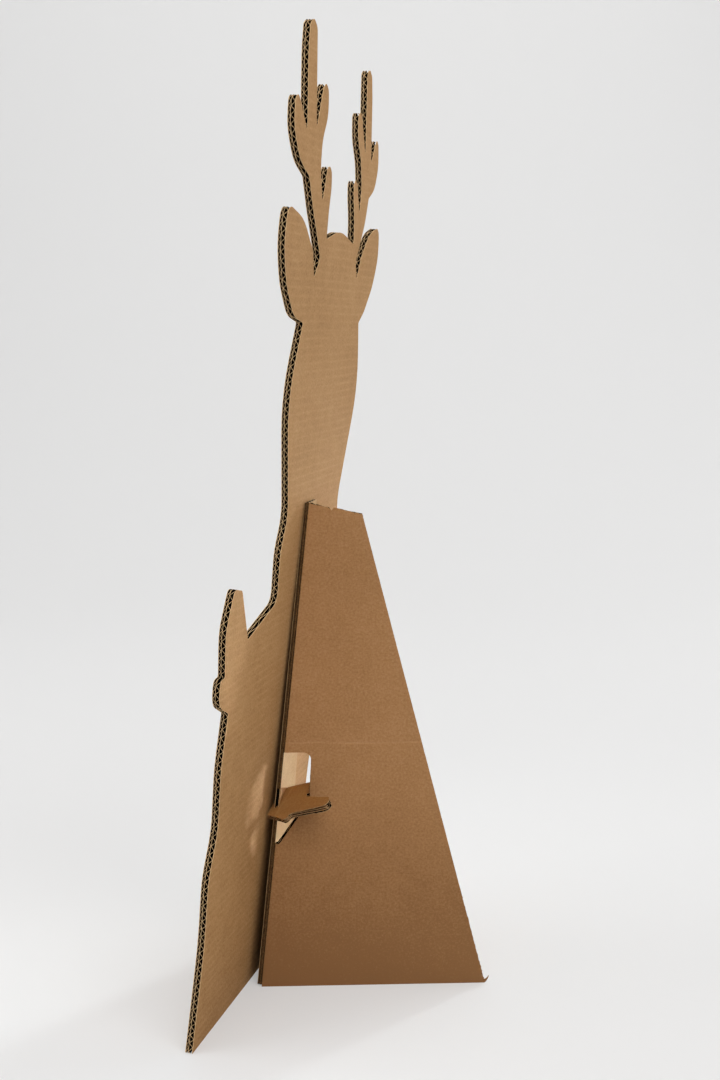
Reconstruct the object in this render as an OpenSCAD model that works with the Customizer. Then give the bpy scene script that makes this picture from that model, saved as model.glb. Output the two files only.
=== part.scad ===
// Free-standing reindeer figure of corrugated board, held up by a folded easel on its back.
// X runs along the board as seen from behind, the easel stands towards -Y, +Z is up.

/* [Board of the figure] */
// Thickness of each of the three flat liners
liner = 0.55; // [0.4:0.05:0.8]
// Thickness of the fluted paper
medium = 0.5; // [0.3:0.05:0.7]
// Pitch of the coarse flutes behind the back liner
coarse_pitch = 7.8; // [6.5:0.1:9]
// Height of the coarse flutes
coarse_h = 3.3; // [2.6:0.1:4.2]
// Pitch of the fine flutes behind the front liner
fine_pitch = 6.4; // [5.2:0.1:7.4]
// Height of the fine flutes
fine_h = 2; // [1.6:0.1:2.8]
// Crushed height above the floor that has no open flutes
crushed_h = 2; // [1:0.5:6]
// Angle that the board leans back by
lean = 6.2; // [3:0.1:10]
// Drop of the antlers' forward bend below the brow line
bend_drop = 30; // [15:1:45]
// Angle that the antlers bend forward by
bend_angle = 4.9; // [1:0.1:8]
// Radius of that bend at the back face
bend_r = 930; // [600:10:1500]

/* [Head and antlers] */
// Distance of the head's middle from the near bottom corner
head_x = 222; // [212:1:232]
// Height of the brow line above the neck's swelling
face_l = 147; // [140:1:160]
// Width of the far half of the turned head against the near half
far_width = 0.8; // [0.74:0.01:0.9]
// Height of the far half of the head against the near half
far_height = 0.93; // [0.88:0.01:1]
// Shift of the far half from the head's middle
far_shift = 17; // [10:1:22]
// Rise of the crown above the brow line
crown_rise = 11; // [7:1:16]
// Drop of the crown's ends below the brow line
crown_end_drop = 1; // [-3:1:5]
// Half width of the crown between the antlers
crown_half = 46; // [44:1:50]
// Drop of the notch between ear and antler below the brow line
notch_drop = 38; // [32:1:44]
// Height of the antler above the brow line
antler_h = 187; // [175:1:205]
// Distance of the notch between ear and antler from the head's middle
notch_x = 76; // [70:1:82]
// Distance of the antler's outer root from the head's middle
root_x = 61; // [56:1:66]
// Drop of the antler's outer root below the brow line
root_drop = 19; // [12:1:26]
// Distance of the outer tine's root from the head's middle
elbow_x = 109; // [104:1:114]
// Height of the outer tine's root
elbow_h = 52; // [46:1:58]
// Distance of the lowest fork from the head's middle
low_fork_x = 65; // [60:1:70]
// Height of the lowest fork
low_fork_h = 31; // [25:1:37]
// Distance of the antler's beam from the head's middle
beam_x = 91; // [86:1:96]
// Width of the antler's beam
beam_w = 26; // [22:1:30]
// Height of the fork outside the beam
outer_fork_h = 89; // [84:1:94]
// Height of the fork inside the beam
inner_fork_h = 93; // [88:1:98]
// Width of the tines near their tips
tine_w = 17; // [14:1:20]
// Length over which the tines narrow to their tips
taper_l = 27; // [22:1:32]
// Inset of the antler's outer bend from the outer tine's root
stem_in = 15; // [11:1:19]
// Drop of the antler's outer bend below the outer tine's root
stem_drop = 28; // [23:1:33]
// Inset of the outer tine's lower bend from its reach
outer_bend_in = 18; // [14:1:22]
// Rise of the outer tine's lower bend above its root
outer_bend_rise = 11; // [8:1:14]
// Distance of the inner tine's root from the head's middle
inner_root_x = 69; // [66:1:72]
// Height of the inner tine's root
inner_root_h = 88; // [84:1:92]
// Distance of the beam's waist from the head's middle
waist_x = 74; // [71:1:77]
// Height of the beam's waist
waist_h = 60; // [55:1:65]
// Reach of the outer tine from the head's middle
outer_tine_x = 156; // [150:1:164]
// Height of the outer tine
outer_tine_h = 117; // [112:1:126]
// Reach of the inner tine from the head's middle
inner_tine_x = 51; // [46:1:56]
// Height of the inner tine
inner_tine_h = 138; // [132:1:146]
// Reach of the lowest tine from the head's middle
low_tine_x = 36; // [30:1:40]
// Height of the lowest tine
low_tine_h = 66; // [60:1:74]
// Drop of the lowest tine's bend below its tip
low_bend_drop = 18; // [14:1:22]
// Inset of the lowest tine's root from its reach
low_root_in = 7; // [4:1:10]
// Drop of the lowest tine's root below its tip
low_root_drop = 40; // [35:1:45]
// Reach of the ear from the head's middle
ear_reach = 173; // [165:1:182]
// Height of the ear's tip above the brow line
ear_tip_h = 22; // [14:1:34]
// Drop of the ear's lower root below the brow line
ear_root_drop = 79; // [72:1:86]
// Inset of the ear's lobe from its reach
ear_lobe_in = 45; // [40:1:50]
// Rise of the ear's lobe above its lower root
ear_lobe_rise = 6; // [3:1:9]
// Inset of the ear's lower side from its reach
ear_side_in = 15; // [11:1:19]
// Rise of the ear's lower side above its lower root
ear_side_rise = 34; // [30:1:40]
// Drop of the ear's widest place below the brow line
ear_mid_drop = 11; // [7:1:16]
// Inset of the ear's tip from its reach
ear_tip_in = 4; // [2:1:8]
// Inset of the bend in the ear's upper edge from its reach
ear_bend_in = 51; // [46:1:56]
// Drop of that bend below the ear's tip
ear_bend_drop = 8; // [5:1:11]
// Run of the ear's upper edge out of its notch
notch_run = 10; // [7:1:13]
// Rise of the ear's upper edge out of its notch
notch_rise = 24; // [20:1:28]

/* [Neck and body] */
// Shift of the neck's middle from the head's middle
neck_shift = 3; // [0:1:6]
// Width of the neck under the ears
neck_top_w = 198; // [188:1:208]
// Width that the neck swells to
neck_mid_w = 246; // [232:1:260]
// Width of the neck above the shoulders
neck_low_w = 173; // [164:1:182]
// Height of the neck's swelling above its narrow end
neck_l = 114; // [100:1:130]
// Height of the neck's narrow end above the shoulder
chest_l = 82; // [74:1:95]
// Width of the body at the floor
body_w = 294; // [280:1:310]
// Height of the far flank's bend
flank_h = 197; // [160:1:230]
// Reach of the far flank past the bottom corner
flank_out = 11; // [4:1:18]
// Far edge of the body at the shoulder
shoulder_far_x = 332; // [325:1:340]
// Rise of the shoulder above the notch behind the fawn's ear
shoulder_rise = 21; // [14:1:28]
// Place of the shoulder's inner corner along the board
shoulder_x = 130; // [124:1:136]
// Run of the breast towards the near side
breast_run = 5; // [2:1:8]
// Drop of the breast below the neck's narrow end
breast_drop = 34; // [28:1:40]

/* [Fawn at the near edge] */
// Length of the fawn's ear above the notch behind it
fawn_ear_l = 55; // [45:1:65]
// Width of the fawn's ear across its tip
fawn_ear_w = 20; // [15:1:26]
// Place of the ear's tip along the board
fawn_ear_x = 1; // [-2:1:4]
// Reach of the ear's near bend past the bottom corner
fawn_ear_out = 13; // [10:1:16]
// Drop of the ear's near bend below its tip
fawn_ear_bend = 34; // [28:1:40]
// Reach of the ear's near root past the bottom corner
fawn_root_out = 9; // [6:1:12]
// Reach of the fawn's brow past the bottom corner
fawn_brow_out = 4; // [1:1:7]
// Height of the notch behind the fawn's ear
fawn_notch_h = 381; // [374:1:386]
// Place of that notch along the board
fawn_notch_x = 50; // [44:1:56]
// Drop of the fawn's nose below that notch
fawn_face_l = 23; // [16:1:30]
// Length of the fawn's nose along the edge
fawn_nose_l = 37; // [32:1:42]
// Reach of the fawn's nose past the bottom corner
fawn_nose_out = 16; // [12:1:20]
// Rise of the fawn's lip above the nose's lower end
lip_rise = 13; // [9:1:17]
// Place of the fawn's chin along the board
chin_x = 14; // [10:1:18]
// Place of the fawn's belly along the board
belly_x = 2; // [-1:1:5]
// Drop of the fawn's throat below its nose
throat_drop = 51; // [40:1:60]
// Drop of the fawn's chest below its nose
fawn_chest_drop = 111; // [100:1:120]
// Drop of the fawn's belly below its nose
belly_drop = 153; // [140:1:165]
// Drop of the fawn's knee below its nose
knee_drop = 218; // [205:1:230]
// Depth of the curves along the fawn's edge
edge_wave = 8; // [4:1:12]

/* [Easel] */
// Thickness of the easel's single-wall board
easel_t = 4; // [3.4:0.1:4.6]
// Thickness of its two liners
easel_liner = 0.5; // [0.3:0.05:0.7]
// Pitch of its flutes, which run along the fold
easel_pitch = 7.8; // [6.5:0.1:9]
// Height of the fold up the board
fold_h = 491; // [470:1:510]
// Place of the fold's top along the board
fold_top_x = 191; // [184:1:198]
// Place of the fold's foot along the board
fold_foot_x = 154; // [146:1:162]
// Gap between the board and the easel at the fold's foot
foot_lift = 11.7; // [8:0.1:15]
// Radius of the liner crushed on the inside of the fold
crease_r = 1.2; // [0.9:0.1:1.6]
// Radius of the liner bent round the outside of the fold
fold_r = 3.8; // [3.4:0.1:4.4]
// Radius of the score line pressed along the outside of the fold
score_r = 0.3; // [0.2:0.05:0.35]
// Width of the glued flap at its top
flap_top_w = 27; // [20:1:36]
// Place of the glued flap's far bottom corner along the board
flap_foot_x = 262; // [250:1:275]
// Angle between the wing's foot and the board
wing_turn = 72.8; // [66:0.1:80]
// Length of the wing's foot on the floor
wing_foot = 225.7; // [205:0.1:245]
// Width of the wing's top
wing_top_w = 52; // [44:1:60]
// Drop of the wing's top from the fold to the outer edge
wing_top_drop = 11; // [4:1:18]
// Width of the nick in the wing's top
nick_w = 5; // [2:0.5:8]
// Depth of that nick
nick_d = 3.5; // [1.5:0.5:6]
// Place of that nick between the fold and the outer edge
nick_place = 0.42; // [0.3:0.02:0.55]
// Height of the cross crease on the wing
cross_crease_h = 251; // [246:1:290]
// Width of the cross crease
cross_crease_w = 2; // [1:0.5:3]
// Depth of the cross crease
cross_crease_depth = 0.35; // [0.1:0.05:0.4]
// Lower end of the opening in the wing
opening_low = 148; // [142:1:152]
// Upper end of the opening in the wing
opening_high = 240; // [234:1:244]
// Reach of the opening from the fold's foot
opening_reach = 51.5; // [48:0.5:56]
// Taper of the opening's far edge down to its lower corner
opening_taper = 3; // [1:0.5:5]
// Width of the opening's level lower edge
opening_lip = 17; // [14:0.5:20]
// Height of the slope beside the opening's lower edge
opening_slope = 44; // [36:1:52]
// Rounding of the opening's upper corner
opening_r = 8; // [4:0.5:12]

/* [Locking tongue] */
// Place of the tongue's far root along the board
tongue_x = 204; // [200:1:208]
// Height of the tongue's far root up the board
tongue_h = 192.8; // [190:0.1:196]
// Rise of the tongue from level
tongue_rise = 26.4; // [24:0.1:29]
// Roll of the tongue towards the near side
tongue_roll = 15.8; // [14:0.1:18]
// Width of the tongue at its hook
tongue_w = 55.5; // [52:0.5:59]
// Length of the tongue
tongue_l = 69.5; // [66:0.5:74]
// Angle that the hook's edge turns away from the wing's slot
hook_turn = 22; // [20:0.5:24]
// Shortening of the hook's inner corner against the tongue
hook_short = 3; // [1:0.5:5]
// Shortening of the far prong against the tongue
prong_short = 5; // [3:0.5:7]
// Width of the tongue's shoulder at its near root
root_step = 11; // [8:1:14]
// Length of that shoulder
root_l = 27; // [22:1:32]
// Inset of the near root from the tongue's width
root_in = 8; // [5:1:11]
// Clearance of the slot on each side of the wing
slot_clear = 0.6; // [0.4:0.1:1]

/* [Hidden] */
arc_deviation = 0.25;
bend_parts = 4;
soft_r = 60;
curve_r = 40;
tip_r = 6;
tip_fall = 4;
tip_crown = 2;
fork_r = 2;
cut_over = 2.5 * easel_t;
sheet_over = wing_foot / 4;
flap_lap = easel_t;
flap_inset = 0.15 * easel_t;
bead_start = 0.004;
fold_lap = 6;
score_place = 0.5;
board_t = 3 * liner + coarse_h + fine_h;
shoulder_h = fawn_notch_h + shoulder_rise;
neck_low_h = shoulder_h + chest_l;
neck_mid_h = neck_low_h + neck_l;
brow_h = neck_mid_h + face_l;
bend_h = brow_h - bend_drop;
fawn_ear_h = fawn_notch_h + fawn_ear_l;
fawn_nose_h = fawn_notch_h - fawn_face_l;
nose_low = fawn_nose_h - fawn_nose_l;
board_top = brow_h + antler_h + cut_over;
neck_x = head_x + neck_shift;
far_ear_x = head_x + far_shift + far_width * ear_reach;
mid_x = (far_ear_x - fawn_nose_out) / 2;
foot_off = easel_t + foot_lift;
hinge_foot = on_back(fold_foot_x, floor_h(foot_off), foot_off);
hinge_rise = on_back(fold_top_x, fold_h, easel_t) - hinge_foot;
foot_dir = [cos(wing_turn), -sin(wing_turn), 0];
wing_normal = unit(cross(foot_dir, hinge_rise));
fold_a = hinge_rise * foot_dir;
fold_b = norm(hinge_rise - fold_a * foot_dir);
wing_reach = hinge_foot.y - wing_foot * sin(wing_turn) - easel_t * cos(wing_turn);
mid_y = (board_t / cos(lean) + wing_reach) / 2;

function xy(p) = [p[0], p[1]];
function unit(v) = v / norm(v);

// One corner p between a and b, rounded to radius r
function corner(a, p, b, r) = r == 0 ? [p] :
  let (
    half = acos(unit(a - p) * unit(b - p)) / 2,
    cut = min(r / tan(half), 0.48 * norm(a - p), 0.48 * norm(b - p)),
    radius = cut * tan(half),
    centre = p + unit(unit(a - p) + unit(b - p)) * radius / sin(half),
    from = p + unit(a - p) * cut - centre,
    to = p + unit(b - p) * cut - centre,
    turn = (180 - 2 * half) * (cross(from, to) > 0 ? 1 : -1),
    steps = ceil(abs(turn) / (2 * acos(1 - arc_deviation / max(radius, 1)))),
    start = atan2(from.y, from.x)
  )
  [for (i = [0 : steps]) centre + radius * [cos(start + turn * i / steps), sin(start + turn * i / steps)]];

// Outline through corners given as [x, y, radius]
function rounded(c) = [
  for (i = [0 : len(c) - 1])
    each corner(xy(c[(i + len(c) - 1) % len(c)]), xy(c[i]), xy(c[(i + 1) % len(c)]), c[i][2])
];

// Hollow of one flute: a triangle that stands on one liner and points at the other
function hollow(along, base, apex, pitch) =
  let (
    h = abs(apex - base),
    slope = atan(2 * h / pitch),
    half = pitch / 2 - medium / 2 / sin(slope),
    tip = base + sign(apex - base) * (h - medium / 2 / cos(slope))
  )
  [[base, along - half], [base, along + half], [tip, along]];

// All hollows of one fluted layer between two liners, from one length to another
function hollows(near, far, pitch, from, to) = [
  for (i = [0 : floor(2 * (to - from) / pitch) - 2])
    i % 2 == 0
      ? hollow(from + pitch * (i + 1) / 2, near, far, pitch)
      : hollow(from + pitch * (i + 1) / 2, far, near, pitch)
];

// Place in the board's section, bent forward above bend_h; p is [depth, height]
function bent(p) =
  let (
    past = max(0, p.y - bend_h),
    angle = min(bend_angle, past / bend_r * 180 / PI),
    beyond = past - angle * PI / 180 * bend_r
  )
  past == 0 ? p : [
    bend_r - (bend_r - p.x) * cos(angle) + beyond * sin(angle),
    bend_h + (bend_r - p.x) * sin(angle) + beyond * cos(angle)
  ];

// Section of the double-wall board, back face at 0, trimmed level at the floor
module board_section() {
  bend_l = bend_r * bend_angle * PI / 180;
  stations = [for (i = [0 : bend_parts]) bend_h + bend_l * i / bend_parts];
  back = [[0, 0], for (s = stations) bent([0, s]), bent([0, board_top])];
  front = [bent([board_t, board_top]), for (i = [bend_parts : -1 : 0]) bent([board_t, stations[i]])];
  difference() {
    polygon([each back, each front, [board_t, -board_t * tan(lean)]]);
    for (tri = hollows(liner, liner + coarse_h, coarse_pitch, crushed_h, board_top))
      polygon([for (p = tri) bent(p)]);
    for (tri = hollows(2 * liner + coarse_h, board_t - liner, fine_pitch, crushed_h, board_top))
      polygon([for (p = tri) bent(p)]);
  }
}

// Tip of a tine from one side to the other
function tip(from, to, h) = [
  [from, h - tip_fall, tip_r], [(from + to) / 2, h + tip_crown, tip_r], [to, h - tip_fall, tip_r]
];

// Half of the head from the ear's lower root to the crown: distance from the head's middle,
// height above the brow line, rounding
function half_head() =
  let (beam_out = beam_x + beam_w)
  [
    [ear_reach - ear_lobe_in, ear_lobe_rise - ear_root_drop, curve_r],
    [ear_reach - ear_side_in, ear_side_rise - ear_root_drop, soft_r],
    [ear_reach + tip_crown, -ear_mid_drop, soft_r],
    [ear_reach - ear_tip_in, ear_tip_h + tip_crown, 2 * tip_r],
    [ear_reach - ear_bend_in, ear_tip_h - ear_bend_drop, soft_r],
    [notch_x + notch_run, notch_rise - notch_drop, curve_r],
    [notch_x, -notch_drop, fork_r],
    [root_x, -root_drop, tip_r],
    [elbow_x - stem_in, elbow_h - stem_drop, soft_r],
    [elbow_x, elbow_h, fork_r],
    [outer_tine_x - outer_bend_in, elbow_h + outer_bend_rise, curve_r],
    [outer_tine_x + tip_crown / 2, outer_tine_h - taper_l, curve_r],
    each tip(outer_tine_x - tip_crown, outer_tine_x - tine_w, outer_tine_h),
    [beam_out, outer_fork_h, fork_r],
    [beam_out, antler_h - taper_l, soft_r],
    each tip(beam_out - tip_fall, beam_x, antler_h),
    [beam_x - tip_crown, inner_fork_h, fork_r],
    each tip(inner_tine_x + tine_w, inner_tine_x, inner_tine_h),
    [inner_tine_x, inner_tine_h - taper_l, curve_r],
    [inner_root_x, inner_root_h, curve_r],
    [waist_x, waist_h, curve_r],
    [low_fork_x, low_fork_h, fork_r],
    each tip(low_tine_x + tine_w - tip_crown, low_tine_x, low_tine_h),
    [low_tine_x, low_tine_h - low_bend_drop, curve_r],
    [low_tine_x + low_root_in, low_tine_h - low_root_drop, soft_r],
    [crown_half, -crown_end_drop, fork_r]
  ];

// Whole outline of the figure, seen from behind, from the near bottom corner
module figure_2d() {
  half = half_head();
  last = len(half) - 1;
  near_edge = [
    [0, -cut_over, 0], [edge_wave, nose_low - knee_drop, 4 * soft_r],
    [belly_x, nose_low - belly_drop, soft_r], [2 * edge_wave, nose_low - fawn_chest_drop, soft_r],
    [edge_wave, nose_low - throat_drop, 2 * soft_r], [chin_x, nose_low, fork_r],
    [tip_crown - fawn_nose_out, nose_low + lip_rise, 3 * tip_r],
    [-fawn_nose_out, fawn_nose_h, tip_r], [-fawn_brow_out, fawn_nose_h, fork_r]
  ];
  fawn_ear = [
    [-fawn_root_out, fawn_notch_h, curve_r], [-fawn_ear_out, fawn_ear_h - fawn_ear_bend, soft_r],
    [fawn_ear_x, fawn_ear_h, tip_r], [fawn_ear_x + fawn_ear_w, fawn_ear_h - tip_fall, tip_r],
    [fawn_notch_x, fawn_notch_h, fork_r]
  ];
  near_neck = [
    [shoulder_x, shoulder_h, 2 * tip_r], [shoulder_x - breast_run, neck_low_h - breast_drop, curve_r],
    [neck_x - neck_low_w / 2, neck_low_h, curve_r], [neck_x - neck_mid_w / 2, neck_mid_h, 4 * soft_r],
    [neck_x - neck_top_w / 2, brow_h - ear_root_drop, fork_r]
  ];
  near_head = [for (p = half) [head_x - p[0], brow_h + p[1], p[2]]];
  far_middle = head_x + far_shift;
  crown = [[head_x, brow_h + crown_rise, 2 * soft_r]];
  far_head = [
    for (i = [last : -1 : 0])
      [far_middle + far_width * half[i][0], brow_h + far_height * half[i][1], far_width * half[i][2]]
  ];
  far_side = [
    [neck_x + neck_top_w / 2, brow_h - ear_root_drop, fork_r],
    [neck_x + neck_mid_w / 2, neck_mid_h, 4 * soft_r], [neck_x + neck_low_w / 2, neck_low_h, curve_r],
    [shoulder_far_x, shoulder_h, 2 * soft_r], [body_w + flank_out, flank_h, 4 * soft_r],
    [body_w, -cut_over, 0]
  ];
  polygon(rounded([
    each near_edge, each fawn_ear, each near_neck, each near_head, each crown, each far_head, each far_side
  ]));
}

module reindeer_panel() {
  depth = board_t + 2 * antler_h;
  color("#a8835c")
    translate([-mid_x, -mid_y, 0]) rotate([lean, 0, 0]) intersection() {
      translate([-fawn_nose_out - cut_over, 0, 0]) rotate([90, 0, 90])
        linear_extrude(far_ear_x + fawn_nose_out + 2 * cut_over) board_section();
      translate([0, depth / 2, 0]) rotate([90, 0, 0]) linear_extrude(depth) figure_2d();
    }
}

// Place on the board's back face, x along it, h up it and off behind it
function on_back(x, h, off) = [x, -off * cos(lean) - h * sin(lean), h * cos(lean) - off * sin(lean)];

// Height up the board at which a place behind it meets the floor
function floor_h(off) = off * tan(lean);

// Single-wall board over an outline, faces at 0 and easel_t, flutes along y turned by flute_turn
module easel_board(flute_turn, from, to, low, high) {
  intersection() {
    linear_extrude(easel_t) children();
    rotate([0, 0, flute_turn]) translate([0, high, 0]) rotate([90, 0, 0]) linear_extrude(high - low)
      difference() {
        translate([from, 0]) square([to - from, easel_t]);
        for (tri = hollows(easel_liner, easel_t - easel_liner, easel_pitch, from, to))
          polygon([for (p = tri) [p.y, p.x]]);
      }
  }
}

// Flap on the board's back: its far part lies glued, its near part lifts about their diagonal
module flap() {
  top = [fold_top_x, fold_h];
  far_top = [fold_top_x + flap_top_w, fold_h];
  far_foot = [flap_foot_x, floor_h(easel_t)];
  near_foot = [fold_foot_x, floor_h(foot_off)];
  diagonal = unit(far_foot - top);
  along = (near_foot - top) * diagonal;
  side = near_foot - top - along * diagonal;
  flat_foot = top + along * diagonal + unit(side) * norm([norm(side), foot_lift]);
  flute_turn = atan2(flat_foot.x - top.x, top.y - flat_foot.y);
  fold_dir = unit(flat_foot - top);
  foot_dir = unit(flat_foot - far_foot);
  glued = [
    top + [flap_inset, 0], far_top, far_foot, far_foot + flap_lap * foot_dir + [0, flap_inset],
    top + 10 * flap_lap * fold_dir + [flap_inset, 0]
  ];
  lifted = [
    top + flap_lap * fold_dir, top + 2 * flap_lap * diagonal, far_foot - flap_lap / 2 * diagonal, flat_foot
  ];
  sheet_end = flap_foot_x + sheet_over;
  sheet_top = fold_h + sheet_over;
  rotate([90, 0, 0])
    easel_board(flute_turn, fold_foot_x - cut_over, sheet_end, -sheet_over, sheet_top)
      polygon(glued);
  translate([top.x, -easel_t / 2, top.y])
    rotate(-atan2(foot_lift, norm(side)), [diagonal.x, 0, diagonal.y])
      translate([-top.x, easel_t / 2, -top.y]) rotate([90, 0, 0])
        easel_board(flute_turn, fold_foot_x - cut_over, sheet_end, -sheet_over, sheet_top)
          polygon(lifted);
}

// Place of a point of the tongue, x across it, y along it and z above its upper face
function on_tongue(x, y, z) =
  let (up = y * sin(tongue_rise) + z * cos(tongue_rise))
  on_back(
    tongue_x - x * cos(tongue_roll) - up * sin(tongue_roll),
    tongue_h - x * sin(tongue_roll) + up * cos(tongue_roll),
    easel_t + y * cos(tongue_rise) - z * sin(tongue_rise)
  );

// Distance of that point from the wing's far face
function wing_off(x, y, z) = wing_normal * (on_tongue(x, y, z) - hinge_foot);

// Place across the tongue, y along it, at a distance from the wing's far face
function wing_at(off, y, z) = (off - wing_off(0, y, z)) / (wing_off(1, 0, 0) - wing_off(0, 0, 0));

// Distance along the wing's foot of such a place on the tongue's lower face
function crossing(off, y) =
  foot_dir * (on_tongue(wing_at(off, y, -easel_t), y, -easel_t) - hinge_foot);

// Place along the tongue at which the slot ends just inside the wing's opening
function slot_end(off) =
  (opening_reach - opening_taper - slot_clear - crossing(off, 0)) / (crossing(off, 1) - crossing(off, 0));

// Tongue that was cut out of the opening: it stays joined to the flap, comes back through the
// opening and hooks over the wing with its slot
module tongue() {
  near_off = easel_t + slot_clear;
  near_y = slot_end(near_off);
  near_x = wing_at(near_off, near_y, -easel_t);
  far_y = slot_end(-slot_clear);
  lip_y = tongue_l - hook_short;
  prong_y = tongue_l - prong_short;
  translate([tongue_x, -easel_t, tongue_h]) rotate([0, 0, 180]) rotate([tongue_rise, tongue_roll, 0])
    translate([0, 0, -easel_t])
      easel_board(0, -cut_over, tongue_w + 2 * cut_over, -cut_over, tongue_l + cut_over)
        polygon(rounded([
          [0, -tip_crown, 0],
          [0, prong_y, tip_r],
          [wing_at(-slot_clear, prong_y, 0), prong_y, fork_r],
          [wing_at(-slot_clear, far_y, 0), far_y, 0],
          [near_x, near_y, 0],
          [near_x + (lip_y - near_y) * tan(hook_turn), lip_y, fork_r],
          [tongue_w - tip_r, tongue_l, tip_r],
          [tongue_w, tongue_l - tip_crown, tip_fall],
          [tongue_w, root_l, tip_fall],
          [tongue_w + root_step, root_l, tip_fall],
          [tongue_w - root_in, -tip_crown, 0]
        ]));
}

// Wing that stands out from the fold, with the opening that the tongue passes through
module wing() {
  top_out = [fold_a + wing_top_w, fold_b - wing_top_drop];
  nick = [fold_a + wing_top_w * nick_place, fold_b - wing_top_drop * nick_place];
  translate(hinge_foot) rotate([0, 0, -wing_turn]) rotate([90 - asin(wing_normal.z), 0, 0]) difference() {
    easel_board(-atan2(fold_a, fold_b), -cut_over, wing_foot + sheet_over, -sheet_over, fold_b + sheet_over)
      difference() {
        polygon([
          [0, 0], [wing_foot, 0], top_out, nick + [nick_w / 2, 0], nick - [0, nick_d],
          nick - [nick_w / 2, 0], [fold_a, fold_b]
        ]);
        polygon(rounded([
          [-cut_over, opening_low, 0], [opening_lip, opening_low, fork_r],
          [opening_reach - opening_taper, opening_low + opening_slope, opening_r],
          [opening_reach, opening_high, opening_r], [-cut_over, opening_high, 0]
        ]));
      }
    translate([fold_a * opening_high / fold_b, cross_crease_h, easel_t]) rotate([90, 0, 90])
      linear_extrude(wing_foot)
        polygon([
          [-cross_crease_w / 2, cut_over], [-cross_crease_w / 2, 0], [0, -cross_crease_depth],
          [cross_crease_w / 2, 0], [cross_crease_w / 2, cut_over]
        ]);
  }
}

// Fold from flap to wing, below and above the opening: the inner liner is crushed to a bead,
// the outer one bends round it and carries a score line
module fold() {
  along = unit(hinge_rise);
  diagonal = on_back(flap_foot_x, floor_h(easel_t), easel_t) - on_back(fold_top_x, fold_h, easel_t);
  flap_normal = unit(cross(hinge_rise, diagonal));
  turn = acos(wing_normal * flap_normal);
  side = unit(flap_normal - (flap_normal * wing_normal) * wing_normal);
  wrap = turn + 2 * fold_lap;
  wedge = [[0, 0], for (i = [0 : 4]) 2 * fold_r * [cos(wrap * i / 4), sin(wrap * i / 4)]];
  for (part = [[bead_start, opening_low / fold_b], [opening_high / fold_b, 1]]) {
    from = hinge_foot + hinge_rise * part[1];
    length = norm(hinge_rise) * (part[1] - part[0]);
    multmatrix([for (i = [0 : 2]) [wing_normal[i], side[i], -along[i], from[i]]]) {
      cylinder(r = crease_r, h = length, $fn = 12);
      difference() {
        intersection() {
          cylinder(r = fold_r, h = length, $fn = 48);
          rotate([0, 0, -fold_lap]) linear_extrude(length) polygon(wedge);
        }
        translate([0, 0, -crease_r])
          cylinder(r = fold_r - easel_liner, h = length + 2 * crease_r, $fn = 48);
        rotate([0, 0, turn * score_place]) translate([fold_r, 0, -crease_r])
          cylinder(r = score_r, h = length + 2 * crease_r, $fn = 12);
      }
    }
  }
}

module easel_stand() {
  color("#94703f") translate([-mid_x, -mid_y, 0]) {
    wing();
    fold();
    rotate([lean, 0, 0]) flap();
    rotate([lean, 0, 0]) tongue();
  }
}

reindeer_panel();
easel_stand();
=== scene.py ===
import math
from collections import namedtuple

import bmesh
import bpy
from mathutils import Matrix, Vector, noise
from mathutils.geometry import tessellate_polygon


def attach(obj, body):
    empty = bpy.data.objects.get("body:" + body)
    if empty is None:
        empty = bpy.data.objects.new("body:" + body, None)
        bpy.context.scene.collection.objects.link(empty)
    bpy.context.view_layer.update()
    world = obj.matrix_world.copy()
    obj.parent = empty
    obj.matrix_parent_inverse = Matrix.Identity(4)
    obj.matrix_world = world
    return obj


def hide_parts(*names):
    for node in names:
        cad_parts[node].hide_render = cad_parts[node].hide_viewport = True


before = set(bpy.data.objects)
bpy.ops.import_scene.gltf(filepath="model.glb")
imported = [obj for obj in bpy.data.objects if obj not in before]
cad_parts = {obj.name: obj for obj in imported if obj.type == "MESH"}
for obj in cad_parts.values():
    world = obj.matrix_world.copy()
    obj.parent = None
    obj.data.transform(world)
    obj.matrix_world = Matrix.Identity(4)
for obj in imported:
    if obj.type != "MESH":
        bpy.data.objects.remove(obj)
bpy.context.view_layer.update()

# Sizes of the object in millimetres, as in the part's source: the board
MM = 0.001
LEAN = math.radians(6.2)
BEND_START = 715.0
BEND_TURN = math.radians(4.9)
BEND_RADIUS = 930.0
BOARD_THICK = 6.95
BOARD_LINER = 0.55
COARSE_HEIGHT = 3.3
COARSE_PITCH = 7.8
FINE_PITCH = 6.4
HEAD_X = 222
FAR_SHIFT = 17
FAR_WIDTH = 0.8
EAR_REACH = 173
NOSE_OUT = 16

# The easel's folded sheet
SHEET_THICK = 4.0
FOLD_TOP = 191.0
FOLD_HEIGHT = 491.0
FOLD_FOOT = 154.0
FOOT_LIFT = 11.7
FLAP_TOP_WIDTH = 27.0
FLAP_FOOT = 262.0
WING_TURN = math.radians(72.8)
WING_FOOT = 225.7
WING_TOP_WIDTH = 52.0
WING_DROP = 11.0
NICK_WIDTH = 5
NICK_DEPTH = 3.5
NICK_PLACE = 0.42
OPEN_LOW = 148.0
OPEN_HIGH = 240.0
OPEN_REACH = 51.5
OPEN_TAPER = 3
OPEN_LIP = 17
OPEN_SLOPE = 44
OPEN_ROUND = 8
FORK_ROUND = 2

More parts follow.
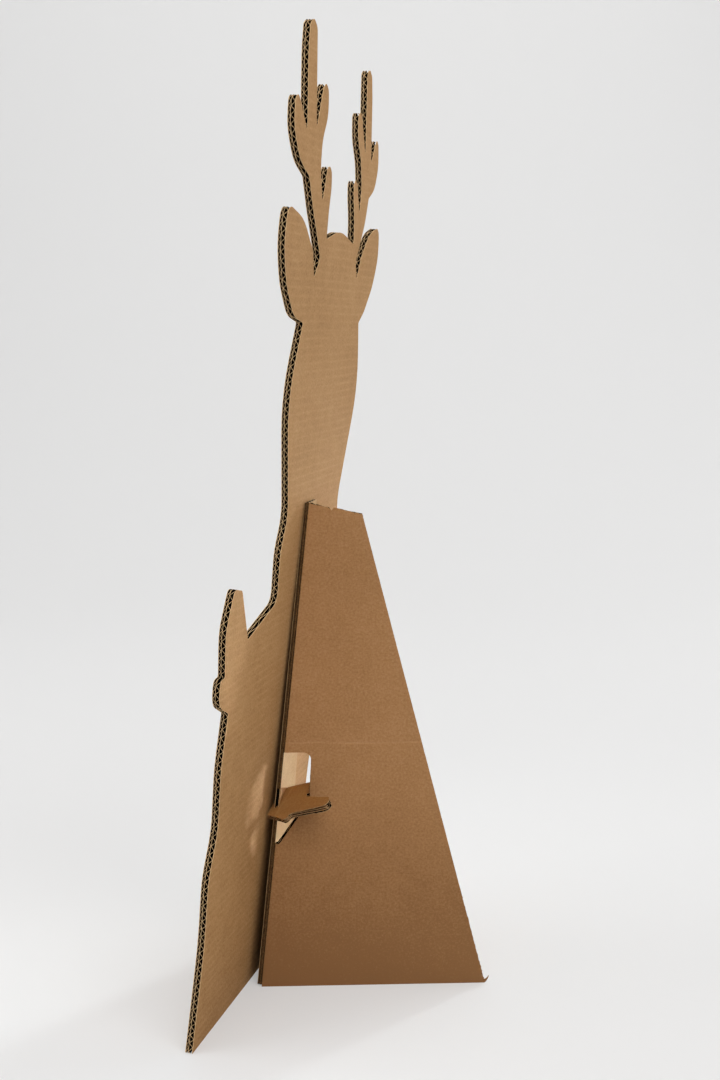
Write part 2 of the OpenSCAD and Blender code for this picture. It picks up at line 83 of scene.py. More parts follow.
# The tongue that locks the easel
TONGUE_X = 204.0
TONGUE_HEIGHT = 192.8
TONGUE_RISE = math.radians(26.4)
TONGUE_ROLL = math.radians(15.8)
TONGUE_WIDTH = 55.5
TONGUE_LENGTH = 69.5
HOOK_TURN = math.radians(22)
HOOK_SHORT = 3
PRONG_SHORT = 5
ROOT_STEP = 11
ROOT_LENGTH = 27
ROOT_IN = 8
TIP_ROUND = 6
TIP_FALL = 4
TIP_CROWN = 2
SLOT_CLEAR = 0.6

# Thickness of the papers that are drawn, thinner than in the part's source
LINER = 0.37
MIDDLE_HALF = 0.15
COARSE_PAPER = 0.32
FINE_PAPER = 0.29
EASEL_LINER = 0.38
EASEL_PAPER = 0.32

# Shapes of use: the wing's bow, the soft bend of the flap and the layers apart at the tongue's tip
WING_BOW = 1.6
FLAP_SOFT = 14.0
LOOSE_SHARE = 0.75
LOOSE_FROM = (20, 8)
LOOSE_OVER = (25, 50)
# Heights up the fold between which the tongue comes away from it, and its paper over the flap
ROOT_LOW = 171.0
ROOT_MIDDLE = 179.0
ROOT_HIGH = 203.0
ROOT_PAPER = 0.3
# Level creases drawn on the wing and near the tongue's root
CREASE_HEIGHT = 249.5
TONGUE_CREASE = 10.5

# Material slots of a sheet; the board has the first three
FACE, EDGE, DEEP_SHADE, LIT_FLAP, FOLD_SHADE, TONGUE, SHADED_SOFT_EDGE = range(7)


def clamp(value):
    return min(1.0, max(0.0, value))


def floor_height(off):
    """Height on the leaning back at which a place off it meets the floor."""
    return off * math.tan(LEAN)


def on_back(x, height, off):
    """Place behind the board's back face, before the shift to the shared frame."""
    y = -off * math.cos(LEAN) - height * math.sin(LEAN)
    z = height * math.cos(LEAN) - off * math.sin(LEAN)
    return Vector((x, y, z))


FOOT_OFF = SHEET_THICK + FOOT_LIFT
HINGE_FOOT = on_back(FOLD_FOOT, floor_height(FOOT_OFF), FOOT_OFF)
HINGE_TOP = on_back(FOLD_TOP, FOLD_HEIGHT, SHEET_THICK)
MID_X = (HEAD_X + FAR_SHIFT + FAR_WIDTH * EAR_REACH - NOSE_OUT) / 2
WING_BACK = WING_FOOT * math.sin(WING_TURN) + SHEET_THICK * math.cos(WING_TURN)
MID_Y = (BOARD_THICK / math.cos(LEAN) + HINGE_FOOT.y - WING_BACK) / 2
SHIFT = Vector((-MID_X, -MID_Y, 0))


def metres(place):
    """Place in the shared frame."""
    return (place + SHIFT) * MM


# Where each sheet lies: (x, y) on the flat sheet and a depth, to a point in metres

def place_panel(x, height, depth):
    past = height - BEND_START
    if past <= 0:
        return metres(on_back(x, height, -depth))
    turn = min(BEND_TURN, past / BEND_RADIUS)
    beyond = past - turn * BEND_RADIUS
    radius = BEND_RADIUS - depth
    forward = BEND_RADIUS - radius * math.cos(turn) + beyond * math.sin(turn)
    upward = BEND_START + radius * math.sin(turn) + beyond * math.cos(turn)
    return metres(on_back(x, upward, -forward))


RISE = HINGE_TOP - HINGE_FOOT
WING_X = Vector((math.cos(WING_TURN), -math.sin(WING_TURN), 0))
WING_NORMAL = WING_X.cross(RISE).normalized()
WING_Y = WING_NORMAL.cross(WING_X)
FOLD_END_X = RISE.dot(WING_X)
FOLD_END_Y = RISE.dot(WING_Y)
FOLD_SLANT = FOLD_END_X / FOLD_END_Y


def place_wing(x, y, depth):
    bow = WING_BOW * math.sin(math.pi * clamp(y / FOLD_END_Y)) * (x / WING_FOOT) ** 2
    return metres(HINGE_FOOT + x * WING_X + y * WING_Y + (depth + bow) * WING_NORMAL)


# The flap lies flat on the board beyond a diagonal and lifts off it towards the fold's foot
FLAP_TOP = Vector((FOLD_TOP, FOLD_HEIGHT))
FLAP_FAR_FOOT = Vector((FLAP_FOOT, floor_height(SHEET_THICK)))
FLAP_NEAR_FOOT = Vector((FOLD_FOOT, floor_height(FOOT_OFF)))
DIAGONAL = (FLAP_FAR_FOOT - FLAP_TOP).normalized()
DOWN_DIAGONAL = (FLAP_NEAR_FOOT - FLAP_TOP).dot(DIAGONAL)
FROM_DIAGONAL = FLAP_NEAR_FOOT - FLAP_TOP - DOWN_DIAGONAL * DIAGONAL
OUTWARD = FROM_DIAGONAL.normalized()
FLAT_LENGTH = math.hypot(FROM_DIAGONAL.length, FOOT_LIFT)
FLAT_FOOT = FLAP_TOP + DOWN_DIAGONAL * DIAGONAL + OUTWARD * FLAT_LENGTH
LIFT_TURN = math.atan2(FOOT_LIFT, FROM_DIAGONAL.length)


def place_flap(x, y, depth):
    from_top = Vector((x, y)) - FLAP_TOP
    out = from_top.dot(OUTWARD)
    base = FLAP_TOP + from_top.dot(DIAGONAL) * DIAGONAL
    if out > 0:
        radius = FLAP_SOFT / LIFT_TURN
        turn = min(LIFT_TURN, out / radius)
        beyond = out - turn * radius
        out = (radius - depth) * math.sin(turn) + beyond * math.cos(turn)
        depth = radius - (radius - depth) * math.cos(turn) + beyond * math.sin(turn)
    place = base + out * OUTWARD
    return metres(on_back(place.x, place.y, depth))


TONGUE_TURN = (Matrix.Rotation(math.pi, 4, "Z") @ Matrix.Rotation(TONGUE_ROLL, 4, "Y")
               @ Matrix.Rotation(TONGUE_RISE, 4, "X"))


def on_tongue(x, y, depth):
    turned = TONGUE_TURN @ Vector((x, y, depth))
    return on_back(TONGUE_X + turned.x, TONGUE_HEIGHT + turned.z, SHEET_THICK - turned.y)


def place_tongue(x, y, depth):
    """Place on the tongue, whose layers have come apart towards the hook's tip."""
    loose = clamp((x - LOOSE_FROM[0]) / LOOSE_OVER[0]) * clamp((y - LOOSE_FROM[1]) / LOOSE_OVER[1])
    return metres(on_tongue(x, y, (depth - SHEET_THICK) * (1 + LOOSE_SHARE * loose)))


def wing_at(off, y, depth):
    """Place across the tongue at a distance from the wing's far face."""
    start = WING_NORMAL.dot(on_tongue(0, y, depth) - HINGE_FOOT)
    return (off - start) / WING_NORMAL.dot(on_tongue(1, 0, 0) - on_tongue(0, 0, 0))


def slot_end(off):
    """Place along the tongue at which the slot ends inside the wing's opening."""
    reach = []
    for y in (0, 1):
        on_wing = on_tongue(wing_at(off, y, -SHEET_THICK), y, -SHEET_THICK)
        reach.append(WING_X.dot(on_wing - HINGE_FOOT))
    return (OPEN_REACH - OPEN_TAPER - SLOT_CLEAR - reach[0]) / (reach[1] - reach[0])


# Outlines on the flat sheet

ARC_DEVIATION = 0.08
LEAST_ARC_RADIUS = 0.5
MOST_OF_SIDE = 0.48


def rounded(corners):
    """Outline through corners (x, y, radius) with each corner rounded."""
    out = []
    count = len(corners)
    for i in range(count):
        corner = Vector(corners[i][:2])
        wanted = corners[i][2]
        if wanted == 0:
            out.append(corner)
            continue
        back = Vector(corners[i - 1][:2]) - corner
        ahead = Vector(corners[(i + 1) % count][:2]) - corner
        half = back.angle(ahead) / 2
        cut = min(wanted / math.tan(half), MOST_OF_SIDE * back.length, MOST_OF_SIDE * ahead.length)
        radius = cut * math.tan(half)
        inward = (back.normalized() + ahead.normalized()).normalized()
        middle = corner + inward * radius / math.sin(half)
        start = corner + back.normalized() * cut - middle
        end = corner + ahead.normalized() * cut - middle
        turn = start.angle_signed(end)
        step = 2 * math.acos(max(0.0, 1 - ARC_DEVIATION / max(radius, LEAST_ARC_RADIUS)))
        steps = max(2, math.ceil(abs(turn) / step))
        for k in range(steps + 1):
            cos = math.cos(-turn * k / steps)
            sin = math.sin(-turn * k / steps)
            out.append(middle + Vector((start.x * cos - start.y * sin, start.x * sin + start.y * cos)))
    return out


# What counts as the CAD board's back face: its normal's y, and how near to the back it lies (mm)
BACK_NORMAL = -0.9
BACK_WITHIN = 0.25
KEY_PLACES = 5
MM_IN_METRE = 1000


def laid_flat(point):
    """Place (x, height, depth) on the flat board of a point of the CAD board."""
    place = point * MM_IN_METRE - SHIFT
    y = place.y * math.cos(LEAN) + place.z * math.sin(LEAN)
    z = -place.y * math.sin(LEAN) + place.z * math.cos(LEAN)
    if z <= BEND_START:
        return place.x, z, y
    turn = math.atan2(z - BEND_START, BEND_RADIUS - y)
    if turn <= BEND_TURN:
        depth = BEND_RADIUS - math.hypot(z - BEND_START, BEND_RADIUS - y)
        return place.x, BEND_START + turn * BEND_RADIUS, depth
    arm = Vector((y - BEND_RADIUS, z - BEND_START))
    depth = BEND_RADIUS + arm.x * math.cos(BEND_TURN) - arm.y * math.sin(BEND_TURN)
    beyond = arm.x * math.sin(BEND_TURN) + arm.y * math.cos(BEND_TURN)
    return place.x, BEND_START + BEND_TURN * BEND_RADIUS + beyond, depth


def back_face(mesh):
    """Flat places of the back face's points, and the neighbours of each point on its rim."""
    flat = {}
    used = {}
    for face in mesh.polygons:
        points = [mesh.vertices[i].co for i in face.vertices]
        places = [laid_flat(p) for p in points]
        if face.normal.y > BACK_NORMAL or any(abs(depth) > BACK_WITHIN for _, _, depth in places):
            continue
        keys = [tuple(round(c, KEY_PLACES) for c in p) for p in points]
        for key, (x, height, _) in zip(keys, places):
            flat[key] = Vector((x, height))
        for pair in zip(keys, keys[1:] + keys[:1]):
            edge = tuple(sorted(pair))
            if edge[0] != edge[1]:
                used[edge] = used.get(edge, 0) + 1
    rim = {}
    for (start, end), faces in used.items():
        if faces == 1:
            rim.setdefault(start, []).append(end)
            rim.setdefault(end, []).append(start)
    return flat, rim


def panel_outline():
    """Outline of the CAD board's back face, laid flat: the longest loop on its rim."""
    flat, rim = back_face(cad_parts["reindeer_panel"].data)
    longest = []
    seen = set()
    for start in rim:
        if start in seen:
            continue
        loop = []
        following = [start]
        while following:
            loop.append(following[0])
            seen.add(following[0])
            following = [key for key in rim[loop[-1]] if key not in seen]
        if len(loop) > len(longest):
            longest = loop
    return [flat[key] for key in longest]


# The hand's shake along a cut: waves per mm, fine and broad, and the broad one's strength
SHAKE_FINE = 0.35
SHAKE_BROAD = 0.06
BROAD_SHARE = 0.6
BROAD_SEED = 9
LEAST_RUN = 1e-6


def worn(loop, step, depth, seed, where=None):
    """Outline cut by hand: points every few millimetres, moved a little in or out."""
    out = []
    for start, end in zip(loop, loop[1:] + loop[:1]):
        run = end - start
        count = max(1, int(run.length / step))
        across = Vector((-run.y, run.x)) / max(run.length, LEAST_RUN)
        for k in range(count):
            p = start + run * k / count
            amount = depth * (where(p) if where else 1.0)
            broad = Vector((p.x * SHAKE_BROAD, p.y * SHAKE_BROAD, seed + BROAD_SEED))
            wave = noise.noise(Vector((p.x * SHAKE_FINE, p.y * SHAKE_FINE, seed)))
            wave += BROAD_SHARE * noise.noise(broad)
            out.append(p + across * wave * amount)
    return out


def level_cuts(heights):
    """Planes (point, direction) that split a flat sheet along level lines."""
    return [((0, height, 0), (0, 1, 0)) for height in heights]


# A sheet of corrugated board: thin liners with wavy fluted paper between them

FLUTE_STEPS = 12
FLUTE_SHARP = 0.94
ROW_INSET = 0.02
CUT_INSET = 0.08
CUT_RAGGED = 0.07
RAG_ACROSS = 0.5
RAG_ALONG = 0.1
RAG_SEED = 5
LEAST_SPAN = 0.2
PITCH_DRIFT = 0.3
DRIFT_ACROSS = 0.07
SPLIT_WITHIN = 1e-5
MERGE_WITHIN = 2e-6

# One row across the flutes: its place across, its spans along, its depth and half the paper's
# thickness, as a step across and a step in depth
Row = namedtuple("Row", "across spans depth half_across half_depth")


def spans_at(points, across, seed):
    """Stretches of a row inside an outline of (along, across) points, with raggedly cut ends."""
    crossings = []
    for (along_0, across_0), (along_1, across_1) in zip(points, points[1:] + points[:1]):
        if (across_0 <= across) != (across_1 <= across):
            share = (across - across_0) / (across_1 - across_0)
            crossings.append(along_0 + (along_1 - along_0) * share)
    crossings.sort()
    spans = []
    for start, end in zip(crossings[::2], crossings[1::2]):
        start_rag = noise.noise(Vector((across * RAG_ACROSS, start * RAG_ALONG, seed)))
        end_rag = noise.noise(Vector((across * RAG_ACROSS, end * RAG_ALONG, seed + RAG_SEED)))
        start_cut = CUT_INSET + CUT_RAGGED * start_rag
        end_cut = CUT_INSET + CUT_RAGGED * end_rag
        if end - start > start_cut + end_cut + LEAST_SPAN:
            spans.append((start + start_cut, end - end_cut))
    return spans


def flute_row(points, across, pitch, thick, middle, swing, seed):
    """Row of a fluted paper that swings about a middle depth once in each pitch."""
    drift = PITCH_DRIFT * noise.noise(Vector((across * DRIFT_ACROSS, seed, 0)))
    phase = 2 * math.pi * (across + drift) / pitch
    sharp_sine = FLUTE_SHARP * math.sin(phase)
    full = math.asin(FLUTE_SHARP)
    slope = swing * FLUTE_SHARP * math.cos(phase) / math.sqrt(1 - sharp_sine ** 2) / full
    slope *= 2 * math.pi / pitch
    length = math.hypot(1, slope)
    depth = middle + swing * math.asin(sharp_sine) / full
    half_across = slope / length * thick / 2
    return Row(across, spans_at(points, across, seed), depth, half_across, thick / 2 / length)


def overlapping(span, others):
    return [other for other in others if other[0] < span[1] and other[1] > span[0]]


def matched_spans(low, high):
    """Pairs of ends (start, end) in two rows that one strip of paper joins."""
    for span in low.spans:
        above = overlapping(span, high.spans)
        for i, other in enumerate(above):
            start = span[0] if i == 0 else max(span[0], other[0])
            end = span[1] if i == len(above) - 1 else min(span[1], other[1])
            if len(overlapping(other, low.spans)) > 1:
                other = (max(start, other[0]), min(end, other[1]))
            yield (start, end), other


class Sheet:
    def __init__(self, name):
        self.name = name
        self.mesh = bmesh.new()
        self.uv = self.mesh.loops.layers.uv.new("sheet")

    def add(self, corners, flat, material, smooth=False):
        """One face from points in metres, each with its place on the flat sheet in metres."""
        face = self.mesh.faces.new([self.mesh.verts.new(c) for c in corners])
        face.material_index = material
        face.smooth = smooth
        for loop, place in zip(face.loops, flat):
            loop[self.uv].uv = place

    def face(self, points, place, material, smooth=False, uv_shift=(0, 0)):
        """One face from (x, y, depth) points on the flat sheet in millimetres."""
        flat = [(p[0] * MM + uv_shift[0], p[1] * MM + uv_shift[1]) for p in points]
        self.add([place(*p) for p in points], flat, material, smooth)

    def liner(self, loop, low, high, place, cuts=(), sides=(FACE, FACE), rim=EDGE, uv_shift=(0, 0)):
        """Flat paper over an outline between two depths, split along lines where it bends."""
        flat = bmesh.new()
        rings = [[flat.verts.new((p.x, p.y, depth)) for p in loop] for depth in (low, high)]
        for triangle in tessellate_polygon([[Vector((p.x, p.y, 0)) for p in loop]]):
            for ring, material in zip(rings, sides):
                flat.faces.new([ring[i] for i in triangle]).material_index = material
        count = len(loop)
        for i in range(count):
            j = (i + 1) % count
            wall = (rings[0][i], rings[0][j], rings[1][j], rings[1][i])
            flat.faces.new(wall).material_index = rim
        for point, direction in cuts:
            everything = flat.verts[:] + flat.edges[:] + flat.faces[:]
            bmesh.ops.bisect_plane(flat, geom=everything, dist=SPLIT_WITHIN,
                                   plane_co=point, plane_no=direction)
        bmesh.ops.recalc_face_normals(flat, faces=flat.faces[:])
        for face in flat.faces:
            self.face([tuple(v.co) for v in face.verts], place, face.material_index, uv_shift=uv_shift)
        flat.free()

    def fluted(self, loop, low, high, pitch, thick, turn, place, seed, piece=math.inf, rim=EDGE):
        """Wavy paper between two depths, in pieces; its flutes run along y, turned by an angle."""
        along = Vector((-math.sin(turn), math.cos(turn)))
        across = Vector((math.cos(turn), math.sin(turn)))
        points = [(p.dot(along), p.dot(across)) for p in loop]
        first = min(p[1] for p in points)
        width = max(p[1] for p in points) - first
        middle = (low + high) / 2
        swing = (high - low - thick) / 2
        count = int(width / (pitch / FLUTE_STEPS))
        rows = []
        for k in range(count + 1):
            at = first + ROW_INSET + (width - 2 * ROW_INSET) * k / count
            rows.append(flute_row(points, at, pitch, thick, middle, swing, seed))

        def on_row(row, at, side):
            flat = along * at + across * (row.across - side * row.half_across)
            return flat.x, flat.y, row.depth + side * row.half_depth

        for row, following in zip(rows, rows[1:]):
            for here, there in matched_spans(row, following):
                parts = max(1, math.ceil((here[1] - here[0]) / piece))
                stops = [k / parts for k in range(parts + 1)]
                for start, end in zip(stops, stops[1:]):
                    corners = [(row, here, start), (row, here, end),
                               (following, there, end), (following, there, start)]
                    for side in (1, -1):
                        quad = [on_row(r, s[0] + (s[1] - s[0]) * t, side) for r, s, t in corners]
                        self.face(quad[::side], place, DEEP_SHADE, True)
                for end, order in ((0, 1), (1, -1)):
                    corners = [(row, here, 1), (following, there, 1),
                               (following, there, -1), (row, here, -1)]
                    cap = [on_row(r, s[end], side) for r, s, side in corners]
                    self.face(cap[::order], place, rim)

    def raw(self, points, material):
        """One face from points before the shift, each with its place on the sheet in millimetres."""
        flat = [(place[0] * MM, place[1] * MM) for _, place in points]
        self.add([metres(point) for point, _ in points], flat, material)

    def done(self, materials):
        bmesh.ops.remove_doubles(self.mesh, verts=self.mesh.verts[:], dist=MERGE_WITHIN)
        mesh = bpy.data.meshes.new(self.name)
        self.mesh.to_mesh(mesh)
        self.mesh.free()
        for material in materials:
            mesh.materials.append(material)
        piece = bpy.data.objects.new(self.name, mesh)
        bpy.context.scene.collection.objects.link(piece)
        return piece


# Materials

def node(tree, kind, **values):
    new = tree.nodes.new(kind)
    for key, value in values.items():
        setattr(new, key, value)
    return new


def math_node(tree, operation, first, second=None, clamped=False):
    new = node(tree, "ShaderNodeMath", operation=operation, use_clamp=clamped)
    for socket, value in zip(new.inputs, (first, second)):
        if isinstance(value, (int, float)):
            socket.default_value = value
        elif value is not None:
            tree.links.new(value, socket)
    return new.outputs[0]


def plus(tree, first, second, clamped=False):
    return math_node(tree, "ADD", first, second, clamped)


def minus(tree, first, second, clamped=False):
    return math_node(tree, "SUBTRACT", first, second, clamped)


def times(tree, first, second, clamped=False):
    return math_node(tree, "MULTIPLY", first, second, clamped)


def noise_at(tree, vector, scale, detail=4.0, rough=0.55, stretch=(1, 1, 1), shift=(0, 0, 0)):
    mapping = node(tree, "ShaderNodeMapping")
    mapping.inputs["Scale"].default_value = stretch
    mapping.inputs["Location"].default_value = shift
    tree.links.new(vector, mapping.inputs["Vector"])
    pattern = node(tree, "ShaderNodeTexNoise")
    pattern.inputs["Scale"].default_value = scale
    pattern.inputs["Detail"].default_value = detail
    pattern.inputs["Roughness"].default_value = rough
    tree.links.new(mapping.outputs[0], pattern.inputs["Vector"])
    return pattern.outputs["Fac"]


def about_middle(tree, pattern, amount):
    """Pattern of 0 to 1 moved to lie about 0, times an amount."""
    return times(tree, minus(tree, pattern, 0.5), amount)


# Strength of each pattern in the paper's tone
BROAD_TONE = 0.55
MIDDLE_TONE = 0.5
FINE_TONE = 1.15
FIBRE_TONE = 0.55
FLECK_FROM = 0.67
FLECK_TONE = -0.16
CREASE_TONE = 0.22
# Height of each pattern in the paper's relief
RIB_RELIEF = 0.18
CREASE_RELIEF = 1.6
FINE_RELIEF = 0.5
FIBRE_RELIEF = 0.35
RELIEF_STRENGTH = 0.35
RELIEF_DISTANCE = 0.00025
# How much lines wander on the paper, and half a crease's width (m)
LINE_WANDER = 0.004
CREASE_HALF_WIDTH = 0.0016
# Ribs of the flutes: how narrow, their mean, and the patches in which they show
RIB_SHARP = 7.0
RIB_MEAN = 0.3
PATCH_FROM = 0.3
PATCH_GAIN = 4


def flute_ribs(tree, along, broad):
    """Narrow ribs, one for each flute below the paper, that wander a little."""
    wander = about_middle(tree, broad, LINE_WANDER)
    angle = times(tree, plus(tree, along, wander), math.pi / (COARSE_PITCH * MM))
    swing = math_node(tree, "ABSOLUTE", math_node(tree, "SINE", angle))
    return minus(tree, math_node(tree, "POWER", swing, RIB_SHARP), RIB_MEAN)


def crease_line(tree, sheet, height, crease):
    """1 on a wandering level line, falling to 0 beside it."""
    wander = about_middle(tree, noise_at(tree, sheet, scale=30, detail=2), LINE_WANDER)
    away = math_node(tree, "ABSOLUTE", minus(tree, plus(tree, height, wander), crease))
    return minus(tree, 1.0, math_node(tree, "DIVIDE", away, CREASE_HALF_WIDTH), True)


def kraft(name, dark, middle, light, ribs_along, rib, crease=None, mottle=1.0, foot_shade=None):
    """Kraft paper: fibres, flecks, mottling and the faint ribs of the flutes below.

    A crease is given by its height on the sheet, and the painted foot shade by the height in metres
    up to which the paper is darker and by how much it is darker at the foot.
    """
    material = bpy.data.materials.new(name)
    material.use_nodes = True
    tree = material.node_tree
    tree.nodes.clear()
    output = node(tree, "ShaderNodeOutputMaterial")
    paper = node(tree, "ShaderNodeBsdfPrincipled")
    tree.links.new(paper.outputs[0], output.inputs[0])
    sheet = node(tree, "ShaderNodeUVMap", uv_map="sheet").outputs[0]
    axes = node(tree, "ShaderNodeSeparateXYZ")
    tree.links.new(sheet, axes.inputs[0])
    height = axes.outputs["Y"]

    broad = noise_at(tree, sheet, scale=9, detail=3)
    clouds = noise_at(tree, sheet, scale=70, detail=5, rough=0.6, shift=(3, 1, 0))
    fine = noise_at(tree, sheet, scale=420, detail=4, rough=0.65, shift=(1, 7, 0))
    fibres_across = noise_at(tree, sheet, scale=1.0, detail=3, rough=0.6, stretch=(260, 1500, 1))
    fibres_up = noise_at(tree, sheet, scale=1.0, detail=3, rough=0.6, stretch=(1300, 300, 1),
                         shift=(4, 2, 0))
    fibres = plus(tree, fibres_across, fibres_up)
    fleck = noise_at(tree, sheet, scale=900, detail=2, rough=0.5, shift=(9, 3, 0))
    tone = about_middle(tree, broad, BROAD_TONE * mottle)
    tone = plus(tree, tone, about_middle(tree, clouds, MIDDLE_TONE * mottle))
    tone = plus(tree, tone, about_middle(tree, fine, FINE_TONE))
    tone = plus(tree, tone, times(tree, minus(tree, fibres, 1.0), FIBRE_TONE))
    flecks = math_node(tree, "GREATER_THAN", fleck, FLECK_FROM)
    tone = plus(tree, tone, times(tree, flecks, FLECK_TONE))

    ribs = flute_ribs(tree, axes.outputs[ribs_along], broad)
    patches = minus(tree, noise_at(tree, sheet, scale=22, detail=3, shift=(5, 5, 0)), PATCH_FROM)
    tone = plus(tree, tone, times(tree, ribs, times(tree, patches, PATCH_GAIN * rib, True)))
    relief = times(tree, ribs, RIB_RELIEF)
    if crease is not None:
        line = crease_line(tree, sheet, height, crease)
        tone = plus(tree, tone, times(tree, line, CREASE_TONE))
        relief = minus(tree, relief, times(tree, line, CREASE_RELIEF))
    # painted shade: the paper darkens towards its foot, below the given height, standing in for the shade
    # low on the sheet
    if foot_shade is not None:
        shade_fade = math_node(tree, "DIVIDE", height, foot_shade[0], True)
        tone = plus(tree, tone, times(tree, minus(tree, shade_fade, 1.0), foot_shade[1]))

    ramp = node(tree, "ShaderNodeValToRGB")
    stops = ramp.color_ramp.elements
    stops[0].color = (*dark, 1)
    stops[1].color = (*light, 1)
    stops.new(0.5).color = (*middle, 1)
    tree.links.new(plus(tree, tone, 0.5, True), ramp.inputs[0])
    tree.links.new(ramp.outputs[0], paper.inputs["Base Color"])
    paper.inputs["Roughness"].default_value = 0.82
    paper.inputs["Specular IOR Level"].default_value = 0.22
    grain = plus(tree, times(tree, fine, FINE_RELIEF), times(tree, fibres, FIBRE_RELIEF))
    bump = node(tree, "ShaderNodeBump")
    bump.inputs["Strength"].default_value = RELIEF_STRENGTH
    bump.inputs["Distance"].default_value = RELIEF_DISTANCE
    tree.links.new(plus(tree, relief, grain), bump.inputs["Height"])
    tree.links.new(bump.outputs[0], paper.inputs["Normal"])
    return material


def raw_paper(name, dark, light, gloss=0.1):
    """Torn, cut or crushed paper, and paper drawn dark as painted shade: mottled fibres."""
    material = bpy.data.materials.new(name)
    material.use_nodes = True
    tree = material.node_tree
    paper = tree.nodes["Principled BSDF"]
    place = node(tree, "ShaderNodeTexCoord").outputs["Object"]
    ramp = node(tree, "ShaderNodeValToRGB")
    for stop, position, color in zip(ramp.color_ramp.elements, (0.3, 0.7), (dark, light)):
        stop.position = position
        stop.color = (*color, 1)
    tree.links.new(noise_at(tree, place, scale=600, detail=4, rough=0.6), ramp.inputs[0])
    tree.links.new(ramp.outputs[0], paper.inputs["Base Color"])
    paper.inputs["Roughness"].default_value = 0.95
    paper.inputs["Specular IOR Level"].default_value = gloss
    return material


# the last argument of the board's and the easel's papers paints shade that darkens their lower parts
board_face = kraft("board kraft", (0.295, 0.145, 0.046), (0.441, 0.245, 0.098), (0.56, 0.342, 0.16),
                   ribs_along="Y", rib=0.12, foot_shade=(0.4, 0.16))
easel_face = kraft("easel kraft", (0.283, 0.136, 0.051), (0.415, 0.213, 0.086), (0.515, 0.29, 0.138),
                   ribs_along="X", rib=0.02, crease=CREASE_HEIGHT * MM, mottle=0.7, foot_shade=(0.2, 0.62))
# partly painted light: the flap's seen face is drawn paler than the wing and the tongue of the same sheet;
# part of that paleness stands in for the light that falls behind the wing
lit_flap_face = kraft("flap kraft, partly painted light", (0.345, 0.207, 0.09), (0.48, 0.308, 0.145), (0.575, 0.393, 0.208),
                  ribs_along="X", rib=0.06)
# painted shade: the tongue is cut from the easel's sheet but drawn in a darker, more saturated kraft for
# the shade it lies in
shaded_tongue_face = kraft("tongue kraft, painted shade", (0.213, 0.094, 0.026), (0.312, 0.144, 0.039), (0.39, 0.203, 0.068),
                    ribs_along="X", rib=0.03, crease=CREASE_HEIGHT * MM)
cut_edge = raw_paper("cut edge", (0.72, 0.45, 0.21), (0.95, 0.66, 0.36))
# painted shade: the fluted paper and the liners' inner faces are drawn near black for the shade in the
# flute tunnels, though the paper there is brown
deep_shade_paper = raw_paper("fluted paper", (0.002, 0.0015, 0.001), (0.006, 0.004, 0.002), gloss=0.0)
# painted shade: the fold's crushed liner and the flap's side towards the board are drawn dark brown for
# the shade in the fold's recess and the gap behind it
fold_shade_paper = raw_paper("crushed fold, painted shade", (0.07, 0.036, 0.013), (0.19, 0.107, 0.045))
# painted shade: the tongue's torn rim is drawn darker than the cut edges for the shade it lies in
shaded_soft_edge = raw_paper("soft edge, painted shade", (0.3, 0.17, 0.075), (0.56, 0.36, 0.18))


# The figure's board: three liners and two fluted papers, whose flutes run level

BEND_PIECES = 8
LEVEL = math.pi / 2


def make_board():
    outline = [Vector((p.x, max(p.y, 0.0))) for p in panel_outline()]
    middle = BOARD_LINER + COARSE_HEIGHT + BOARD_LINER / 2
    bend_height = BEND_TURN * BEND_RADIUS
    bends = level_cuts(BEND_START + bend_height * k / BEND_PIECES for k in range(BEND_PIECES + 1))
    front = BOARD_THICK - LINER
    board = Sheet("reindeer_board")
    board.liner(outline, 0.0, LINER, place_panel, bends, (FACE, DEEP_SHADE))
    board.liner(outline, middle - MIDDLE_HALF, middle + MIDDLE_HALF, place_panel, bends, (DEEP_SHADE, DEEP_SHADE))
    board.liner(outline, front, BOARD_THICK, place_panel, bends, (DEEP_SHADE, FACE))
    board.fluted(outline, LINER, middle - MIDDLE_HALF, COARSE_PITCH, COARSE_PAPER, LEVEL, place_panel, 3.0)
    board.fluted(outline, middle + MIDDLE_HALF, front, FINE_PITCH, FINE_PAPER, LEVEL, place_panel, 11.0)
    return board.done([board_face, cut_edge, deep_shade_paper])


panel_obj = make_board()
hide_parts("reindeer_panel")
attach(panel_obj, "root")


# The easel's one folded sheet: wing, flap, tongue and the crushed fold between them

UNDER_LINER = SHEET_THICK - EASEL_LINER
# Wear of the outlines: distance of their points, depth, and on the wing the share of that depth
# where it is torn, frayed, plain or clean
WING_STEP = 2.5
WING_WEAR = 0.6
FLAP_STEP = 3
FLAP_WEAR = 0.35
TONGUE_STEP = 1.2
TONGUE_WEAR = 0.6
TORN_TOP = 1.35
TORN_TOP_HEIGHT = 16
FRAYED_FOOT = 2.0
FRAYED_FOOT_HEIGHT = 150
PLAIN_EDGE = 0.35
CLEAN_FOOT_HEIGHT = 1
# How far the near liner and the flutes lie back along the opening's lower edge
NEAR_CUT_BACK = 2.2
FLUTE_CUT_BACK = 1.0
# Pieces into which the papers are split where they bend
WING_BENDS = 8
WING_BEND_STEP = 57.0
WING_FLUTE_PIECE = 40
FLAP_FLUTE_PIECE = 12
FLAP_BEND_PIECES = 4
TONGUE_BENDS = 16
TONGUE_BEND_STEP = 4.0
# Split layers along the tongue's near rim: outline with radii, and low, high and seed of each
SPLIT_RIM = ((49.0, 30, 0), (49.0, 60, 0), (51.5, 69.0, 3), (55.3, 67.5, 3), (55.2, 27.5, 3),
             (65.8, 27.2, 3), (48.5, -1.5, 0), (43, -1.5, 0))
SPLIT_LAYERS = ((1.1, 1.45, 14.0), (2.3, 2.65, 15.0))
SPLIT_WEAR = 0.7
